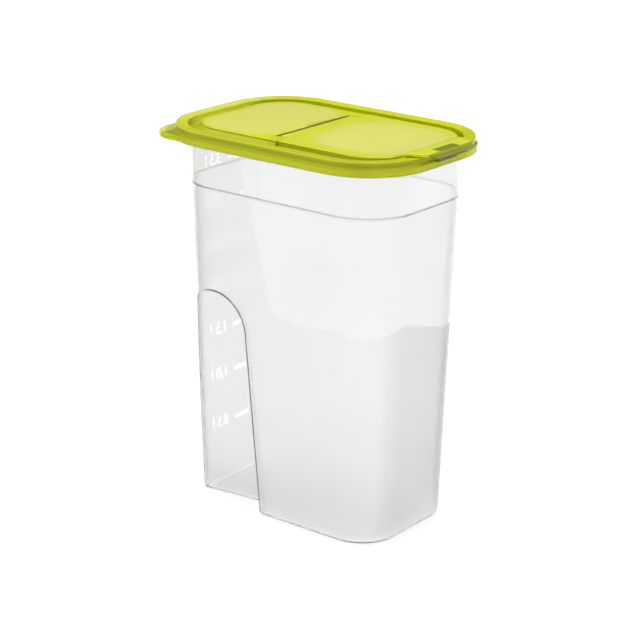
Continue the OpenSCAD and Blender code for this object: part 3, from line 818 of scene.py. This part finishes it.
def plug(shader, colour, grain):
    """Links a colour and the roughness and normal of the moulded surface group to the shader."""
    for name, value in (("Base Color", colour), ("Roughness", grain["Roughness"]), ("Normal", grain["Normal"])):
        shader.id_data.links.new(value, shader.inputs[name])


# %% [markdown]
# ## Milky clear plastic
# The container is polypropylene: clear as thin sheet, and matte on the inside below the ledge, where the tool was
# blasted. The matte area comes from the frost attribute of the mesh, so the roughness follows the walls and stops at
# the recess.

# %% Container material
clear, tree, shader = new_material("milky_clear_plastic", IOR=1.33, Transmission_Weight=0.94, Coat_Weight=0.8,
    Coat_Roughness=0.0, Coat_IOR=1.7)
frost = node(tree, "Attribute", attribute_name="frost").outputs["Fac"]
grain = node(tree, "Group", {"Frost": frost, "Roughness": 0.04, "Frost Roughness": 0.36, "Grain": 0.03, "Wave": 0.06},
    node_tree=grain_group).outputs
tone = node(tree, "Mix", {0: frost, 6: (0.905, 0.906, 0.908, 1), 7: (0.976, 0.978, 0.981, 1)}, data_type="RGBA")
plug(shader, tone.outputs[2], grain)
container.data.materials.append(clear)

# The marks are seen through a wall and against the light, so they give off some light to stay white.
raised, tree, shader = new_material("raised_marks", IOR=1.49, Roughness=0.5, Emission_Color=(1, 1, 1, 1),
    Emission_Strength=1.2)
grain = node(tree, "Group", {"Roughness": 0.5, "Grain": 0.2, "Wave": 0.0}, node_tree=grain_group).outputs
light = slope_node(grain["Cloud"], 0.0, 1.0, 0.93, 0.99)
plug(shader, node(tree, "CombineColor", {0: light, 1: light, 2: light}).outputs[0], grain)
for piece in half_litres:
    piece.data.materials.append(raised)

# %% [markdown]
# ## Lime plastic
# The lid and the flap are dyed through, so colour grows with the length of the way that light takes in the wall: plates
# are pale, and walls seen edge-on are dark. A volume absorption does exactly this. The middle of each flat top is
# finely matted, which makes it paler, and the matting fades out towards the edges. On top of this, the colour carries
# painted light and shade: parts are painted darker or lighter by place, the hinge line and the latch pad are painted
# shadows, and the rear end of the lid is painted paler.

# %% Matted field group
field_sizes = ("Centre", "Half Length", "Half Width", "Corner", "Soft", "Lowest")
field_group, f_in, f_out = new_group("matted field", dict.fromkeys(field_sizes, 0.0), {"Mask": "Float"})


def past_edge(value, centre, half):
    """Distance past the straight part of a rounded rectangle along one axis: max(|v - c| - (h - r), 0)."""
    return larger(minus(maths("ABSOLUTE")(minus(value, centre)), minus(half, f_in["Corner"])), 0.0)


spot = object_place(field_group)
far_off = length_of(past_edge(spot[0], f_in["Centre"], f_in["Half Length"]), past_edge(spot[1], 0, f_in["Half Width"]))
inner_edge = minus(f_in["Corner"], f_in["Soft"])
fade = slope_node(far_off, inner_edge, f_in["Corner"], 1.0, 0.0, interpolation_type="SMOOTHSTEP")
field_group.links.new(times(fade, maths("GREATER_THAN")(spot[2], f_in["Lowest"])), f_out["Mask"])

# %% Lime materials
def field_mask(tree, sizes):
    """The mask of a field whose sizes are listed in the order of field_sizes."""
    return node(tree, "Group", dict(zip(field_sizes, sizes)), node_tree=field_group).outputs["Mask"]


def lime_material(name, border, field, clearness, tone_and_painted_shade, painted_shade_steps, painted_shadow_patch, painted_pale_end=None):
    """Dyed clear plastic: a tinted surface, paler and matter inside the field, over an absorbing volume. The brightness
    is depth at first. depths lists painted light and shade as (axis, start, end, factor): past start it is multiplied
    by factor, fully so at end. It is multiplied by 0.33 inside the patch, a painted shadow. painted_pale_end gives the
    x between which the colour turns pale, as painted light."""
    material, tree, shader = new_material(name, IOR=1.42, Transmission_Weight=clearness, Specular_IOR_Level=0.3)
    where = object_place(tree)
    mask = field_mask(tree, field)
    grain = node(tree, "Group", {"Frost": mask, "Roughness": 0.08, "Frost Roughness": 0.235, "Grain": 0.02,
        "Wave": 0.05}, node_tree=grain_group).outputs
    # paler inside the matted field, and painted light towards the pale end
    matting_and_painted_light = larger(mask, slope_node(where[0], *painted_pale_end)) if painted_pale_end else mask
    colour = node(tree, "Mix", {0: matting_and_painted_light, 6: border, 7: (1.0, 1.0, 0.2, 1)}, data_type="RGBA").outputs[2]
    cloudy = slope_node(grain["Cloud"], 0.3, 0.7, 0.97, 1.03)
    toned = node(tree, "VectorMath", {0: colour, "Scale": cloudy}, operation="SCALE").outputs[0]
    # painted light and shade: the brightness is made lower or higher by place
    for axis, start, end, factor in painted_shade_steps:
        tone_and_painted_shade = times(tone_and_painted_shade, slope_node(where[axis], start, end, 1.0, factor))
    # inside the patch the colour is painted darker: a painted shadow
    in_painted_shadow = slope_node(field_mask(tree, painted_shadow_patch), 0.0, 1.0, 1.0, 0.33)
    tone_and_painted_shade = times(maths("MINIMUM")(tone_and_painted_shade, 1.0), in_painted_shadow)
    plug(shader, node(tree, "VectorMath", {0: toned, "Scale": tone_and_painted_shade}, operation="SCALE").outputs[0], grain)
    dye = node(tree, "VolumeAbsorption", {"Color": (0.905, 0.945, 0.02, 1), "Density": 430.0})
    tree.links.new(dye.outputs[0], tree.nodes["Material Output"].inputs["Volume"])
    return material


panel_field = (-0.0435, 0.036, 0.051, 0.028, 0.009, 0.264)
flap_field = (0.047, 0.044, 0.047, 0.034, 0.013, 0.264)
# painted shadows: a dark line along the hinge and a dark pad on the latch, painted into the colour
hinge_painted_shadow = (-0.0096, 0.0009, 0.0385, 0.0005, 0.0003, 0.262)
pad_painted_shade = (0.0971, 0.0036, 0.0112, 0.001, 0.0006, 0.26)
# painted light and shade on the lid: the sunken parts painted darker, back to full on the tops, the near side
# painted darker, the rear end painted lighter, the spout end painted darker
lid_painted_shade = [(2, 0.2600, 0.2606, 0.78), (2, 0.2640, 0.2648, 1.62), (1, -0.055, -0.060, 0.87), (0, -0.084, -0.088, 1.5),
    (0, 0.06, 0.08, 0.9)]
# painted light and shade on the flap: the front of the lip, the edge wall and the barrel painted darker, the latch
# painted lighter
flap_painted_shade = [(0, 0.1003, 0.1008, 0.45), (2, 0.2652, 0.2644, 0.65), (2, 0.2625, 0.2615, 1.25),
    (0, -0.0066, -0.0072, 0.5)]
lid.data.materials.append(lime_material("lime_lid_plastic", (0.94, 1.0, 0.0, 1), panel_field, 0.5, 0.8, lid_painted_shade,
    hinge_painted_shadow, (-0.082, -0.094)))
flap.data.materials.append(lime_material("lime_flap_plastic", (0.94, 1.0, 0.035, 1), flap_field, 0.4, 0.94, flap_painted_shade,
    pad_painted_shade))

# %% [markdown]
# ## Floor, backdrop and light
# The floor is one large plain sheet. It is white to the eye and to what shines through, and it still takes the soft
# shadow of the object. A clear object is mostly what it mirrors and what is seen through it, so the studio matters
# here: for what is mirrored, the floor carries painted light and shade. It is brighter outside a round field under the
# object, and the walls mirror that edge as a soft window. Sharp reflections see stronger levels than soft ones.

# %% Floor
floor_mesh = bpy.data.meshes.new("floor")
floor_mesh.from_pydata([(-6, -6, 0), (6, -6, 0), (6, 6, 0), (-6, 6, 0)], [], [(0, 1, 2, 3)])
floor_piece = add_object("floor", floor_mesh)
floor_material, tree, shader = new_material("white_floor", Roughness=0.9, Base_Color=(0.8, 0.8, 0.8, 1))
rays = node(tree, "LightPath").outputs
x, y = object_place(tree)[:2]

# the bright window starts outside a disc and past a slanting line, and its corner is rounded:
# with d1, d2 the distances past both, a point is inside where r - sqrt(max(r - d1, 0)^2 + max(r - d2, 0)^2) > 0
window_round, disc_radius = 0.06, 0.41
radius = length_of(minus(x, 0.03), minus(y, 0.01))
slant = minus(x, times(y, 0.95))
past_line = larger(minus(slant, 0.0795), y)
past_disc = minus(radius, disc_radius)
short_of = [larger(minus(window_round, past), 0.0) for past in (past_disc, past_line)]
in_window = slope_node(minus(window_round, length_of(*short_of)), -0.002, 0.003)

# painted shade: under the object the floor is painted darker towards the near corner, and a little towards the middle
corner_x, corner_y = minus(x, 0.085), plus(y, 0.04)
side = maths("DIVIDE")(plus(corner_x, corner_y), length_of(corner_x, corner_y))
fade = slope_node(radius, 0.03, 0.20, 0.9, 1.0)
not_left = larger(slope_node(slant, 0.0, 0.12), slope_node(y, -0.01, 0.01))


def painted_floor_light(near, front, left, window):
    """Painted light and shade of the mirrored floor: near to front under the object, left beside it, and window."""
    inside = times(slope_node(side, 0.85, 1.25, near, front), fade)
    return mix_node(in_window, mix_node(not_left, left, inside), window)


soft_levels = painted_floor_light(1.16, 0.94, 0.95, 1.11)
sharp_levels = painted_floor_light(1.0, 0.35, 0.8, 1.75)
mirrored = mix_node(rays["Is Singular Ray"], soft_levels, sharp_levels)
result = shader.outputs[0]
looks = (("Is Camera Ray", 0.75, 1.1), ("Is Transmission Ray", 0.93, 1.02), ("Is Glossy Ray", 1.0, mirrored))
for ray, share, level in looks:
    look = node(tree, "Emission", {"Color": (1, 1, 1, 1), "Strength": level}).outputs[0]
    result = node(tree, "MixShader", {0: times(rays[ray], share), 1: result, 2: look}).outputs[0]
tree.links.new(result, tree.nodes["Material Output"].inputs["Surface"])
floor_mesh.materials.append(floor_material)

# %% [markdown]
# The backdrop is plain white to the eye and through clear walls. The light on the object comes mostly from above and
# from the grip end. What the object mirrors is darker near the ground, except inside the plastic and in sharp
# reflections.

# %% World
world = bpy.data.worlds.new("studio")
bpy.context.scene.world = world
world.use_nodes = True
tree = world.node_tree
rays = node(tree, "LightPath").outputs
up = node(tree, "SeparateXYZ", {0: node(tree, "TexCoord").outputs["Generated"]}).outputs
soft = times(slope_node(up[2], 0.0, 1.0, 0.4, 2.0), slope_node(up[0], -1.0, 1.0, 1.45, 0.55))
inner = maths("GREATER_THAN")(plus(rays["Transmission Depth"], rays["Is Singular Ray"]), 0.5)
shiny = mix_node(inner, slope_node(up[2], 0.4, 0.8, 0.15, 1.0), 0.85)
direct = larger(rays["Is Camera Ray"], rays["Is Transmission Ray"])
strength = mix_node(direct, mix_node(rays["Is Glossy Ray"], soft, shiny), 1.0)
background = tree.nodes["Background"].inputs
tree.links.new(strength, background["Strength"])
background["Color"].default_value = (1, 1, 1, 1)
bpy.context.scene.view_settings.view_transform = "Standard"
